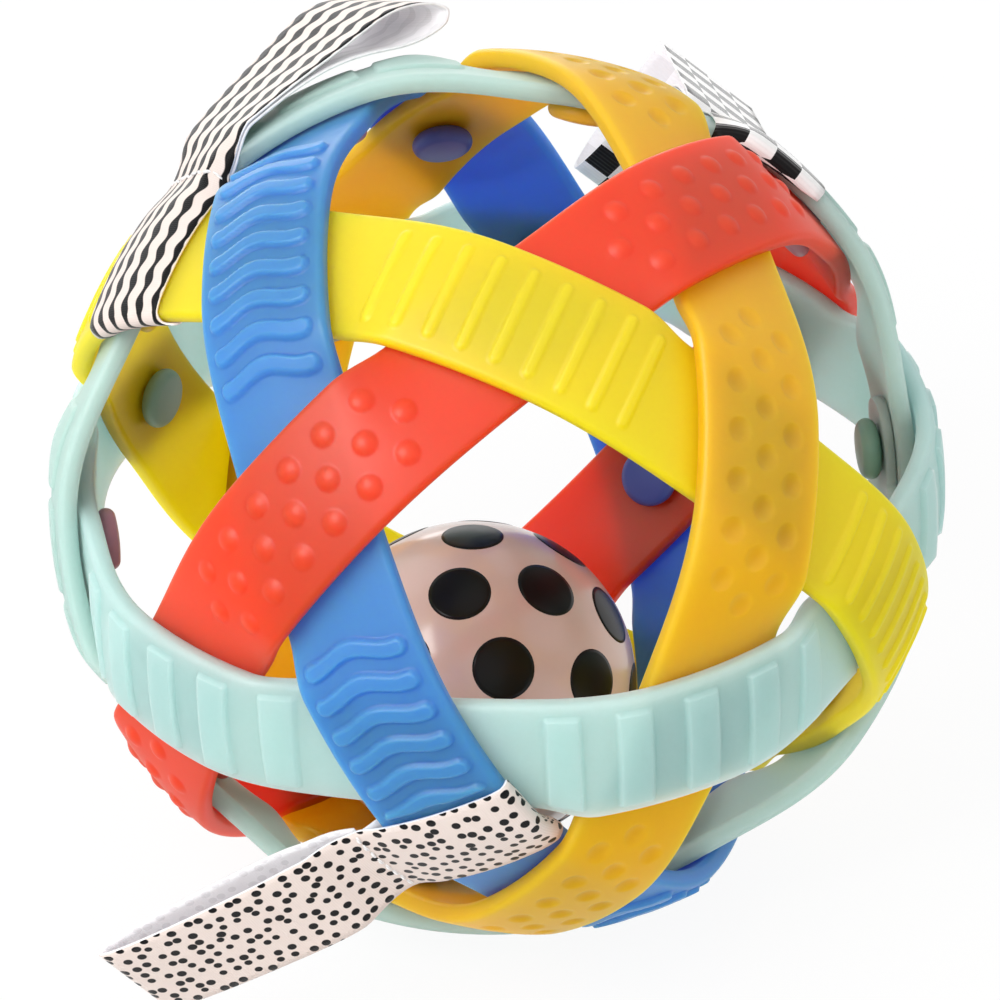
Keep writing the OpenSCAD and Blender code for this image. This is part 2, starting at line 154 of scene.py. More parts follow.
class CageSizes(PropertyGroup):
    """Sizes of the woven cage."""
    radius: length("Cage radius", "Radius to the middle of the strips", 61)
    opening: length("Triangle opening", "Inner radius of the opening that three strips leave", 2.05)
    thickness: length("Strip thickness", "Thickness of a strip", 2.8)
    gap: length("Crossing gap", "Radial gap between two strips at a crossing", 0.4)
    edge: length("Edge relief", "Edge width that a crossing plateau leaves out", 0.8)
    height: length("Centre height", "Height of the cage centre above the table", 59.7058)
    tongue: length("Tongue thickness", "Thickness of the lapping tongue", 1.48)
    tongue_width: length("Tongue width", "Width of the lapping tongue", 13)
    tongue_gap: length("Tongue gap", "Gap between the lapped ends", 0.12)
    corner: length("Corner", "Corner radius of a strip's section", 0.9)
    head: length("Stud head", "Diameter of a stud head", 9)
    head_height: length("Head height", "Height of a stud head", 2.8)
    shank: length("Stud shank", "Diameter of a stud shank", 4.6)
    tongue_reach: angle("Tongue reach", "Reach of a tongue past its stud", 8)
    slit_reach: angle("Slit reach", "Angle from a stud back to the slit of its lap", 4.5)


class ReliefSizes(PropertyGroup):
    """Sizes of the moulded relief on the strips."""
    wave_pitch: relief("wave", "pitch", 4.65)
    wave_width: relief("wave", "width", 2.6)
    wave_across: relief("wave", "length", 15.2)
    wave_dip: relief("wave", "dip", 1.6)
    wave_bend: relief("wave", "dipped length", 12.4)
    wave_height: relief("wave", "height", 0.8)
    rib_pitch: relief("rib", "pitch", 4.65)
    rib_width: relief("rib", "width", 1.7)
    rib_across: relief("rib", "length", 14.4)
    rib_height: relief("rib", "height", 0.45)
    bump_pitch: relief("bump", "pitch", 6.5)
    bump_size: relief("bump", "diameter", 3.3)
    bump_height: relief("bump", "height", 0.55)
    bump_row: relief("bump", "row distance", 4.6)
    dimple_pitch: relief("dimple", "pitch", 6.5)
    dimple_size: relief("dimple", "diameter", 3.5)
    dimple_depth: relief("dimple", "depth", 0.55)
    dimple_row: relief("dimple", "row distance", 4.3)
    bar_pitch: relief("bar", "pitch", 9.4)
    bar_width: relief("bar", "width", 4.8)
    bar_across: relief("bar", "length", 15.2)
    bar_height: relief("bar", "height", 0.7)
    pad_pitch: relief("pad", "pitch", 14.4)
    pad_width: relief("pad", "width", 12.2)
    pad_across: relief("pad", "length", 10.5)
    pad_height: relief("pad", "height", 0.45)


class CageColours(PropertyGroup):
    """Colours of the strips and their studs."""
    sage: colour("Sage", "the sage strip", 160, 196, 186)
    blue: colour("Blue", "the blue strip", 62, 127, 188)
    lemon: colour("Lemon", "the lemon strip", 255, 204, 14)
    coral: colour("Coral", "the coral strip", 240, 61, 23)
    amber: colour("Amber", "the amber strip", 255, 164, 18)
    mint: colour("Mint", "the mint strip", 162, 206, 200)
    sage_stud: colour("Sage studs", "the studs of the sage strip", 184, 134, 150)
    blue_stud: colour("Blue studs", "the studs of the blue strip", 68, 84, 168)
    # The blue studs are the blue of their strip; the darker, more violet tone given here is painted shade
    lemon_stud: colour("Lemon studs", "the studs of the lemon strip", 240, 205, 50)
    coral_stud: colour("Coral studs", "the studs of the coral strip", 228, 70, 50)
    amber_stud: colour("Amber studs", "the studs of the amber strip", 244, 186, 44)
    # The mint studs are the mint of their strip; the darker, greyer green given here is painted shade
    mint_stud: colour("Mint studs", "the studs of the mint strip", 126, 168, 148)


class RattleSizes(PropertyGroup):
    """Sizes and colours of the rattle ball."""
    diameter: length("Ball diameter", "Diameter of the rattle ball", 48.4)
    wall: length("Wall", "Thickness of a shell", 2.2)
    dot: length("Dot diameter", "Diameter of a dot", 9.2)
    seam: length("Seam width", "Width of the seam groove", 0.4)
    seam_tilt: angle("Seam tilt", "Tilt of the seam's axis from the vertical", 43)
    seam_turn: angle("Seam turn", "Turn of the seam's axis about the vertical", -106)
    cream: colour("Shell", "the shell", 244, 212, 203)
    black: colour("Dots", "the dots", 16, 15, 16)
    bead: colour("Beads", "the rattle beads", 196, 80, 60)


class RibbonSizes(PropertyGroup):
    """Sizes and colours of the ribbon loops."""
    wrap_width: length("Wrap width", "Width of a ribbon on its strip", 16)
    width: length("Ribbon width", "Width of a ribbon loop", 17.5)
    pinch: length("Pinch width", "Width of a ribbon gathered in a narrow gap", 4.6)
    thickness: length("Ribbon thickness", "Thickness of a ribbon", 0.34)
    rise: length("Ribbon height", "Height of a ribbon above the middle of its strip", 1.9)
    seam_out: length("Seam distance", "Distance of the seam from the strip edge", 3.6)
    loop: length("Loop length", "Length of a ribbon loop", 41)
    opening: length("Loop opening", "Opening between the layers of the widest loop", 22)
    thread: length("Thread", "Diameter of the sewing thread", 0.5)
    stitches: IntProperty(name="Stitches", description="Stitches in a seam", default=8, min=3, max=20)
    cream: colour("Satin", "the satin ribbons", 230, 214, 206)
    white: colour("White", "the white squares and the thread", 246, 244, 243)
    inside: colour("Inside", "a ribbon's plain side", 250, 247, 250)
    black: colour("Print", "the print", 9, 8, 10)


class StageSettings(PropertyGroup):
    """Floor, light and camera."""
    floor: colour("Floor", "the floor", 245, 245, 245)
    key_power: FloatProperty(name="Key lamp", description="Power of the key lamp", default=7.0, unit="POWER")
    back_power: FloatProperty(name="Back lamp", description="Power of the back lamp", default=5.5,
                              unit="POWER")
    world_level: FloatProperty(name="World level", description="Level of the surrounding light", default=0.76)
    lens: FloatProperty(name="Lens", description="Focal length of the camera", default=187.65, unit="CAMERA")


# Geometry of the weave, in millimetres and degrees

class Weave:
    """Places points of the strips on the cage."""

    def __init__(self, sizes):
        self.r = sizes.radius / MM
        self.t = sizes.thickness / MM
        inner = self.r * math.tan(math.radians(MID)) / math.tan(math.radians(60))
        self.w = 2 * (inner - sizes.opening / MM)
        self.lift = (self.t + sizes.gap / MM) / 2
        self.height = sizes.height / MM
        half = self.w / 2 - sizes.edge / MM
        self.reach = math.degrees(math.asin(half / math.sin(math.radians(TILT)) / self.r))

    def swing(self, a, b):
        """Weave position, 1 over to -1 under, at angles along and across a strip."""
        k = np.floor(a / CROSS_STEP)
        s = np.where(k % 2 == 0, 1.0, -1.0)
        free = np.maximum(1.5, MID - self.reach - s * b / 2)
        x = np.clip((a - CROSS_STEP * k - MID) / free, -1, 1)
        return -s * np.sin(np.radians(90 * x))

    def point(self, strip, a, y, h):
        """Cage points of a strip: angle along it, distance across it, height above its middle."""
        a, y, h = np.broadcast_arrays(np.asarray(a, float), np.asarray(y, float), np.asarray(h, float))
        b = np.degrees(np.arcsin(np.clip(y / self.r, -1, 1)))
        r = self.r + self.lift * self.swing(a, b) + h
        ca, sa, cb, sb = (f(np.radians(v)) for v in (a, b) for f in (np.cos, np.sin))
        first, third, axis = strip_axes(strip)
        p = (r * cb * ca)[..., None] * first + (r * cb * sa)[..., None] * third + (r * sb)[..., None] * axis
        return p + np.array([0, 0, self.height])


def strip_axes(strip):
    """Over-crossing direction, third direction and axis of a strip."""
    if strip == "mint":
        first, axis = np.array([1.0, 0, 0]), np.array([0, 0, 1.0])
    else:
        t, u = math.radians(TILT), math.radians(TURNS[strip])
        first = np.array([math.sin(u), -math.cos(u), 0])
        axis = np.array([math.sin(t) * math.cos(u), math.sin(t) * math.sin(u), math.cos(t)])
    return first, np.cross(axis, first), axis


def direction(strip, a):
    """Direction from the cage centre to an angle on a strip."""
    first, third, _ = strip_axes(strip)
    return first * math.cos(math.radians(a)) + third * math.sin(math.radians(a))


def step(x):
    """Smooth step from 0 to 1."""
    x = np.clip(x, 0, 1)
    return x * x * (3 - 2 * x)


# Meshes

def new_piece(name, points, faces, uv=None):
    """A smooth mesh object from points in millimetres, faces and a UV pair for each face corner."""
    mesh = bpy.data.meshes.new(name)
    mesh.from_pydata((np.asarray(points) * MM).tolist(), [], faces)
    mesh.validate()
    mesh.polygons.foreach_set("use_smooth", np.ones(len(mesh.polygons), bool))
    if uv is not None:
        layer = mesh.uv_layers.new(name="surface")
        layer.data.foreach_set("uv", np.asarray(uv, np.float32).ravel())
    mesh.update()
    piece = bpy.data.objects.new(name, mesh)
    bpy.context.scene.collection.objects.link(piece)
    return piece


def tube_faces(n, m, start=0):
    """Faces of a tube through n rings of m points, closed by two caps."""
    i, j = np.meshgrid(np.arange(n - 1), np.arange(m), indexing="ij")
    k = (j + 1) % m
    quads = np.stack([i * m + j, (i + 1) * m + j, (i + 1) * m + k, i * m + k], -1).reshape(-1, 4) + start
    ends = [[start + q for q in range(m)], [start + (n - 1) * m + q for q in range(m - 1, -1, -1)]]
    return quads.tolist() + ends


def tube_uv(along, left, right, cap):
    """UV pairs of a tube's face corners, from its rows, the two sides of each column and a cap's points."""
    shape = (len(along) - 1, len(left), 4)
    u = np.broadcast_to(np.stack([left, left, right, right], -1), shape)
    v = np.broadcast_to(np.stack([along[:-1], along[1:], along[1:], along[:-1]], -1)[:, None], shape)
    ends = np.stack([np.concatenate([cap, cap[::-1]]), np.repeat(along[[0, -1]], len(cap))], -1)
    return np.vstack([np.stack([u, v], -1).reshape(-1, 2), ends])


def lathe(profile, count, place):
    """Points and faces of a turned body, from (radius, height) rows that start and end on its axis."""
    profile = np.asarray(profile, float)
    turn = np.radians(np.arange(count) * 360 / count)
    points = np.stack([profile[:, 0:1] * np.cos(turn), profile[:, 0:1] * np.sin(turn),
                       profile[:, 1:2] + 0 * turn], -1).reshape(-1, 3)
    i, j = np.meshgrid(np.arange(len(profile) - 1) * count, np.arange(count), indexing="ij")
    k = (j + 1) % count
    faces = np.stack([i + j, i + k, i + count + k, i + count + j], -1).reshape(-1, 4)
    return points @ np.array(place.to_3x3()).T + np.array(place.translation), faces


def turned_piece(name, bodies):
    """One piece from turned bodies, with their poles closed."""
    points, faces, start = [], [], 0
    for p, f in bodies:
        points.append(p)
        faces += (f + start).tolist()
        start += len(p)
    piece = new_piece(name, np.vstack(points), faces)
    shape = bmesh.new()
    shape.from_mesh(piece.data)
    bmesh.ops.remove_doubles(shape, verts=shape.verts, dist=1e-7)
    shape.to_mesh(piece.data)
    shape.free()
    return piece


# Strips

def strip_relief(strip, sizes, s, y):
    """Height of the moulded relief at a distance along from an over crossing and across the strip."""
    def mm(form, *names):
        return [getattr(sizes, f"{form}_{name}") / MM for name in names]

    def row(pitch, count):
        first = -(count - 1) / 2
        n = np.clip(np.round(s / pitch - first), 0, count - 1) + first
        return s - n * pitch

    def capsule(d, across, width, height):
        far = np.hypot(d, np.maximum(np.abs(y) - (across - width) / 2, 0))
        return height * step((width / 2 - far) / RIB_SOFT + SOFT_START)

    def slab(d, across, width, height, corner, soft):
        qx, qy = np.abs(d) - width / 2 + corner, np.abs(y) - across / 2 + corner
        far = np.hypot(np.maximum(qx, 0), np.maximum(qy, 0)) + np.minimum(np.maximum(qx, qy), 0) - corner
        return height * step(-far / soft + SOFT_START)

    def domes(apart, pitch, size, height):
        out = np.zeros_like(s)
        for across, count in zip((-apart, 0, apart), DOMES):
            far = np.hypot(row(pitch, count), y - across) / (size / 2)
            out = np.maximum(out, height * np.clip(1 - far ** 2, 0, 1) ** DOME_POWER)
        return out

    if strip == "blue":
        pitch, dip, bend, *form = mm("wave", "pitch", "dip", "bend", "across", "width", "height")
        turn = np.clip(2 * np.pi * (y + WAVE_SHIFT) / bend, -np.pi, np.pi)
        bent = s + dip / 2 * np.cos(turn)
        n = np.clip(np.round(bent / pitch), -WAVES_BESIDE, WAVES_BESIDE)
        return capsule(bent - n * pitch, *form)
    if strip == "lemon":
        pitch, *form = mm("rib", "pitch", "across", "width", "height")
        return capsule(row(pitch, RIBS), *form)
    if strip == "coral":
        return domes(*mm("bump", "row", "pitch", "size", "height"))
    if strip == "amber":
        return -domes(*mm("dimple", "row", "pitch", "size", "depth"))
    if strip == "mint":
        pitch, *form = mm("bar", "pitch", "across", "width", "height")
        return slab(row(pitch, BARS), *form, BAR_CORNER, BAR_SOFT)
    pitch, *form = mm("pad", "pitch", "across", "width", "height")
    return slab(row(pitch, PADS), *form, PAD_CORNER, PAD_SOFT)


def from_crest(a):
    """Angle along a strip from its nearest over crossing."""
    return a - 2 * CROSS_STEP * np.round(a / (2 * CROSS_STEP))


def strip_stations(cage, weave, strip):
    """Angle, half width, lower and upper height along a strip, from its square end to its tongue's tip."""
    slit = math.degrees(cage.slit_reach)
    start = CROSS_STEP * (2 * LAPS[strip] + 1) - slit
    end = start + 360 - SLIT
    low, high = -weave.t / 2, weave.t / 2
    top = low - cage.tongue_gap / MM
    deep = top - cage.tongue / MM
    full, thin = weave.w / 2, cage.tongue_width / MM / 2
    rows = [(start + x, full - off, low + cut, high - cut) for x, off, cut in ROUND_START]
    a = start + 0.5
    while a < end - SLOPE:
        rows.append((a, full, low, high))
        a += FINE_STEP if abs(from_crest(a)) < RELIEF_REACH else COARSE_STEP
    for x in np.linspace(0, 1, 8):
        rows.append((end - SLOPE + SLOPE_RUN * x, full, low + (deep - low) * float(step(x)), high))
    rows += [(end - 0.5, full, deep, high), (end - 0.2, full - 0.15, deep, high - 0.2),
             (end - 0.02, thin + 0.4, deep, top + 0.2), (end + 0.1, thin, deep, top)]
    tip = slit + math.degrees(cage.tongue_reach)
    for x in np.linspace(0.4, tip - ROUND_TIP, 12):
        rows.append((end + x, thin, deep, top))
    for t in np.radians(np.linspace(5, 88, 14)):
        half = max(0.9, thin * math.cos(t) ** 0.75)
        rows.append((end + tip - ROUND_TIP + ROUND_TIP * math.sin(t), half, deep, top))
    return np.array(rows)


def make_strip(strip, cage, relief):
    """One strip with its lap and its moulded relief."""
    weave = Weave(cage)
    rows = strip_stations(cage, weave, strip)
    a, half, low, high = (rows[:, k:k + 1] for k in range(4))
    # A little less than half the thickness, so that the two rounded edges share no points
    r = np.minimum(cage.corner / MM, (high - low) / 2 - 0.01)
    f = np.maximum(half - r, 0.2)
    across, inner = np.linspace(-1, 1, OUTER), np.linspace(1, -1, INNER)
    arc = np.radians(np.linspace(90, 0, CORNER))[1:]
    c, d = r * np.cos(arc), r * (1 - np.sin(arc))
    edge_y, edge_h = np.hstack([c, c[:, ::-1]]), np.hstack([high - d, low + d[:, ::-1]])
    y = np.hstack([f * across, f + edge_y, f * inner, -f - edge_y])
    h = np.hstack([high + 0 * across, edge_h, low + 0 * inner, edge_h[:, ::-1]])
    s = np.radians(from_crest(a)) * weave.r + 0 * across
    raised = strip_relief(strip, relief, s, y[:, :OUTER])
    for tag in TAGS.values():
        if tag.strip == strip:
            under = (np.radians((a - tag.angle + 180) % 360 - 180) - tag.shift) * weave.r
            raised = raised * step((np.abs(under) - COVER) / COVER_FADE)
    at_end = (half < weave.w / 2 - 1) | (np.arange(len(rows))[:, None] <= len(ROUND_START))
    h[:, :OUTER] += np.where(at_end, 0, raised)
    points = weave.point(strip, a, y, h).reshape(-1, 3)
    # The table flattens the relief that the ball stands on
    points[:, 2] = np.maximum(points[:, 2], 0)
    n, count = y.shape
    along = (rows[:, 0] - rows[0, 0]) / (rows[-1, 0] - rows[0, 0])
    around = np.arange(count + 1) / count
    uv = tube_uv(along, around[:-1], around[1:], around[:-1])[:, ::-1]
    return new_piece(f"{strip}_strip", points, tube_faces(n, count), uv)


# Node tools

class Net:
    """Short ways to add and join the nodes of a shader tree."""

    def __init__(self, tree):
        self.tree = tree
        self.link = tree.links.new

    def add(self, kind, **values):
        """A node with its settings and, after in_, the plain values of its inputs."""
        node = self.tree.nodes.new(f"ShaderNode{kind}")
        for key, value in values.items():
            if key.startswith("in_"):
                node.inputs[key[3:].replace("_", " ")].default_value = value
            else:
                setattr(node, key, value)
        return node

    def math(self, operation, a, b=None):
        """Result of a Math node on sockets or numbers."""
        node = self.add("Math", operation=operation)
        for socket, v in zip(node.inputs, (a, b)):
            if isinstance(v, bpy.types.NodeSocket):
                self.link(v, socket)
            elif v is not None:
                socket.default_value = v
        return node.outputs[0]

    def times(self, a, b):
        return self.math("MULTIPLY", a, b)

    def plus(self, a, b):
        return self.math("ADD", a, b)

    def minus(self, a, b):
        return self.math("SUBTRACT", a, b)

    def mix(self, share, a, b):
        """Mix of two colours, given as sockets or values, by a socket."""
        node = self.add("Mix", data_type="RGBA")
        self.link(share, node.inputs[0])
        for socket, v in ((node.inputs[6], a), (node.inputs[7], b)):
            if isinstance(v, bpy.types.NodeSocket):
                self.link(v, socket)
            else:
                socket.default_value = (*v, 1)
        return node.outputs[2]

    def bump(self, shader, height, strength, distance):
        """Fine bumps on a shader's normal."""
        node = self.add("Bump", in_Strength=strength, in_Distance=distance)
        self.link(height, node.inputs["Height"])
        self.link(node.outputs[0], shader.inputs["Normal"])

    def soft_mask(self, value, width):
        """0 to 1 over a small width round zero."""
        node = self.add("MapRange", interpolation_type="SMOOTHSTEP", in_From_Min=-width, in_From_Max=width)
        self.link(value, node.inputs[0])
        return node.outputs[0]


def shade(c, k):
    """A colour made darker or lighter."""
    return tuple(min(1.0, v * k) for v in c)


def new_group(name, inputs, outputs):
    """A shader node group with named inputs and outputs, as its tree, net, input sockets and output node."""
    tree = bpy.data.node_groups.new(name, "ShaderNodeTree")
    for label, value in inputs.items():
        socket = tree.interface.new_socket(label, in_out="INPUT", socket_type="NodeSocketFloat")
        socket.default_value = value
    for label in outputs:
        tree.interface.new_socket(label, in_out="OUTPUT", socket_type="NodeSocketFloat")
    return tree, Net(tree), tree.nodes.new("NodeGroupInput").outputs, tree.nodes.new("NodeGroupOutput")


def moulded_grain():
    """Faint cloudiness and fine grain of a moulded surface."""
    name = "Moulded grain"
    if name in bpy.data.node_groups:
        return bpy.data.node_groups[name]
    inputs = {"Grain scale": 1500.0, "Cloud scale": 70.0, "Roughness low": 0.4, "Roughness high": 0.5}
    tree, net, source, out = new_group(name, inputs, ("Cloud", "Roughness", "Height"))
    place = net.add("TexCoord").outputs["Object"]
    grain = net.add("TexNoise", in_Detail=2.0, in_Roughness=0.6)
    cloud = net.add("TexNoise", in_Detail=3.0, in_Roughness=0.55)
    for node, label in ((grain, "Grain scale"), (cloud, "Cloud scale")):
        net.link(place, node.inputs["Vector"])
        net.link(source[label], node.inputs["Scale"])
    both = net.plus(net.times(grain.outputs[0], 0.35), net.times(cloud.outputs[0], 0.65))
    low = source["Roughness low"]
    rough = net.plus(low, net.times(both, net.minus(source["Roughness high"], low)))
    net.link(both, out.inputs["Cloud"])
    net.link(rough, out.inputs["Roughness"])
    net.link(grain.outputs[0], out.inputs["Height"])
    return tree


def thread_weave():
    """Fine crossing threads of a ribbon, from its place across and along in millimetres."""
    name = "Thread weave"
    if name in bpy.data.node_groups:
        return bpy.data.node_groups[name]
    inputs = {"Across": 0.0, "Along": 0.0, "Warp pitch": 0.3, "Weft pitch": 0.3, "Weft share": 0.5}
    tree, net, source, out = new_group(name, inputs, ("Height", "Shade"))

    def threads(place, pitch):
        turn = net.times(net.math("DIVIDE", source[place], source[pitch]), 2 * math.pi)
        return net.plus(net.times(net.math("SINE", turn), 0.5), 0.5)

    warp, weft = threads("Across", "Warp pitch"), threads("Along", "Weft pitch")
    share = source["Weft share"]
    height = net.plus(net.times(weft, share), net.times(warp, net.minus(1.0, share)))
    net.link(height, out.inputs["Height"])
    net.link(net.times(height, 0.12), out.inputs["Shade"])
    return tree


# Materials

def new_material(name, **sockets):
    """A material, the net of its nodes and its Principled shader with plain values set on its sockets."""
    material = bpy.data.materials.new(name)
    material.use_nodes = True
    shader = material.node_tree.nodes["Principled BSDF"]
    for key, value in sockets.items():
        shader.inputs[key.replace("_", " ")].default_value = value
    return material, Net(material.node_tree), shader


def grained(name, base, low=0.4, high=0.52, bump=0.06, spread=0.06, **sockets):
    """Moulded soft plastic in one colour, with faint cloudiness and grain."""
    material, net, shader = new_material(name, **sockets)
    group = net.add("Group", node_tree=moulded_grain(), in_Roughness_low=low, in_Roughness_high=high)
    clouded = net.mix(group.outputs["Cloud"], shade(base, 1 - spread), shade(base, 1 + spread))
    net.link(clouded, shader.inputs["Base Color"])
    net.link(group.outputs["Roughness"], shader.inputs["Roughness"])
    net.bump(shader, group.outputs["Height"], bump, 0.0002)
    return material


def ribbon_places(net, width, run):
    """Place across and along a ribbon in millimetres and a mask of its plain side."""
    split = net.add("SeparateXYZ")
    net.link(net.add("UVMap", uv_map="surface").outputs[0], split.inputs[0])
    plain = net.math("GREATER_THAN", split.outputs[0], 0.5)
    half = net.minus(split.outputs[0], net.times(plain, PLAIN_START - PRINT_START))
    across = net.times(net.minus(half, PRINT_START), width / SIDE_WIDTH)
    return across, net.times(split.outputs[1], run), plain


def dotted_print(net, across, along, _):
    """Mask of small irregular dots."""
    place = net.add("CombineXYZ")
    net.link(across, place.inputs[0])
    net.link(along, place.inputs[1])
    cells = net.add("TexVoronoi", voronoi_dimensions="2D", in_Scale=0.45, in_Randomness=0.62)
    net.link(place.outputs[0], cells.inputs["Vector"])
    lot = net.add("SeparateColor")
    net.link(cells.outputs["Color"], lot.inputs[0])
    size = net.plus(net.times(lot.outputs[0], 0.07), 0.245)
    return net.soft_mask(net.minus(size, cells.outputs["Distance"]), 0.03)


def wavy_print(net, across, along, width):
    """Mask of six lengthwise wavy stripes that swell and thin out."""
    pitch, wave, sway = width / 5.45, 4.2, 0.22
    shifted = net.plus(across, pitch * 0.33)
    lane = net.math("FLOOR", net.math("DIVIDE", shifted, pitch))
    phase = net.plus(net.times(along, 2 * math.pi / wave), net.times(lane, 0.5))
    place = net.minus(net.minus(shifted, net.times(lane, pitch)), pitch / 2)
    far = net.math("ABSOLUTE", net.minus(place, net.times(net.math("SINE", phase), sway)))
    half = net.plus(net.times(net.math("COSINE", phase), sway), 0.62)
    return net.soft_mask(net.minus(half, far), 0.1)


def check_print(net, across, along, width):
    """Mask of a plain check, four squares wide."""
    square = width / 4
    a = net.math("FLOOR", net.math("DIVIDE", across, square))
    b = net.math("FLOOR", net.math("DIVIDE", net.minus(along, 0.45 * square), square))
    odd = net.math("MODULO", net.plus(net.plus(a, b), 100.0), 2.0)
    return net.math("GREATER_THAN", odd, 0.5)


PRINTS = {"dots": dotted_print, "waves": wavy_print, "check": check_print}


def ribbon_material(tag, ribbons, run):
    """Woven ribbon with its print on one side."""
    width = ribbons.width / MM
    ribbed = tag == "check"
    material, net, shader = new_material(
        f"{tag}_ribbon", Sheen_Weight=0.7 if ribbed else 0.12, Sheen_Roughness=0.4, Subsurface_Weight=0.4,
        Subsurface_Scale=0.001, Subsurface_Radius=EVEN_DEPTHS, Specular_IOR_Level=0.15)
    across, along, plain_side = ribbon_places(net, width, run)
    ink = PRINTS[tag](net, across, along, width)
    warp, weft, share = (0.5, 0.62, 0.85) if ribbed else (0.26, 0.34, 0.55)
    weave = net.add("Group", node_tree=thread_weave(), in_Warp_pitch=warp, in_Weft_pitch=weft,
                    in_Weft_share=share)
    net.link(across, weave.inputs["Across"])
    net.link(along, weave.inputs["Along"])
    ground = ribbons.white if ribbed else ribbons.cream
    plain = net.mix(weave.outputs["Shade"], ground, shade(ground, 0.55))
    dark = net.mix(weave.outputs["Shade"], ribbons.black, shade(ribbons.black, 2.0))
    printed = net.mix(ink, plain, dark)
    reverse = net.mix(net.times(ink, 0.14), ribbons.inside, ribbons.black)
    net.link(net.mix(plain_side, printed, reverse), shader.inputs["Base Color"])
    net.link(net.plus(net.times(weave.outputs["Height"], 0.16), 0.36), shader.inputs["Roughness"])
    net.bump(shader, weave.outputs["Height"], 0.5 if ribbed else 0.3, 0.0001)
    return material


def thread_material(ribbons):
    """Twisted white sewing thread."""
    material, net, shader = new_material("sewing_thread", Roughness=0.7)
    twist = net.add("TexWave", bands_direction="DIAGONAL", in_Scale=900.0, in_Distortion=0.5)
    net.link(net.add("TexCoord").outputs["Object"], twist.inputs["Vector"])
    shaded = net.mix(twist.outputs[1], shade(ribbons.white, 0.75), ribbons.white)
    net.link(shaded, shader.inputs["Base Color"])
    net.bump(shader, twist.outputs[1], 0.4, 0.0001)
    return material


# Ribbons

def smooth_line(points, count):
    """A smooth line through control rows, with even steps."""
    p = np.asarray(points, float)
    p = np.vstack([2 * p[0] - p[1], p, 2 * p[-1] - p[-2]])
    rows = []
    for i in range(1, len(p) - 2):
        for t in np.linspace(0, 1, 16, endpoint=False):
            a, b, c, d = p[i - 1:i + 3]
            rows.append(0.5 * (2 * b + (c - a) * t + (2 * a - 5 * b + 4 * c - d) * t ** 2
                               + (3 * b - a - 3 * c + d) * t ** 3))
    rows = np.array(rows + [p[-2]])
    run = running_length(rows[:, :2])
    even = np.linspace(0, run[-1], count)
    return np.stack([np.interp(even, run, rows[:, k]) for k in range(rows.shape[1])], 1)


def running_length(line):
    """Length along a line up to each of its points."""
    return np.concatenate([[0], np.cumsum(np.linalg.norm(np.diff(line, axis=0), axis=1))])


def seam_place(weave, ribbons):
    """Distance of a seam across the strip and its height above the strip's middle."""
    return weave.w / 2 + ribbons.seam_out / MM, ribbons.rise / MM * 0.64


def seam_frame(name, cage, ribbons):
    """Middle of a loop's seam, and its directions out, sideways along the strip and up."""
    weave, tag = Weave(cage), TAGS[name]
    a = tag.angle + math.degrees(tag.shift)
    up, axis = direction(tag.strip, a), strip_axes(tag.strip)[2]
    seam_y, seam_h = seam_place(weave, ribbons)
    base = weave.point(tag.strip, a, tag.side * seam_y, seam_h)
    return base, tag.side * axis, tag.side * direction(tag.strip, a - 90), up


def wrap_rows(tag, weave, ribbons):
    """Line of a ribbon round its strip, from the seam under it and back over it to the seam."""
    s, f, e = tag.shift * weave.r, weave.w / 2 - weave.t / 2, ribbons.rise / MM
    w, p = ribbons.wrap_width / MM / 2, ribbons.pinch / MM / 2
    seam_y, seam_h = seam_place(weave, ribbons)
    gathered, wide = (-0.52 * p, p), (tag.inner * s, w)
    far, near = np.array((wide, gathered) if tag.side > 0 else (gathered, wide))
    outer = np.array((s, w))
    steps = (-0.9, -0.6, -0.3, 0, 0.3, 0.6, 0.9)
    rows = [(seam_y - 0.3, seam_h - 0.45, *near), (f + weave.t * 0.6, -e * 0.9, *near)]
    rows += [(f * x, -e, *(far + (near - far) * (x + 0.9) / 1.8)) for x in steps[::-1]]
    for t in range(-60, 61, 12):
        place = outer + (far - outer) * step((5 - t) / 40)
        rows.append((-f - e * math.cos(math.radians(t)), e * math.sin(math.radians(t)), *place))
    rows += [(f * x, e, s, w) for x in steps]
    rows += [(f + weave.t * 0.6, e, s, w), (seam_y - 0.3, seam_h + 0.3, s, w)]
    return smooth_line(rows, WRAP_ROWS)


def loop_rows(tag, ribbons):
    """Line of a loop from its seam, as distance out and height: upper layer out, lower layer back."""
    loop, opening = ribbons.loop / MM, tag.opening * ribbons.opening / MM / 2
    widest = 0.5 ** (1 / tag.power)

    def place(u, side):
        x = min(1.0, u / loop)
        if x < widest:
            shape = math.sin(math.pi * x ** tag.power) ** 1.3
        else:
            shape = math.sqrt(1 - ((x - widest) / (1 - widest)) ** 2)
        slope = tag.lift - 2 * tag.sag * u / loop
        puff = tag.gather * 1.6 * u * math.exp(1 - u / PUFF)
        off = (side * LAYER + (side - tag.hang) * opening * shape) / math.hypot(slope, 1)
        return u - slope * off, tag.lift * u - tag.sag * u * u / loop + off + puff

    out = [0.6 + (loop - 0.8) * math.sin(math.radians(q)) for q in range(0, 86, 5)]
    tip = (loop + 0.4, tag.lift * loop - tag.sag * loop - tag.hang * LAYER)
    return smooth_line([place(u, 1) for u in out] + [tip] + [place(u, -1) for u in out[::-1]], LOOP_ROWS)


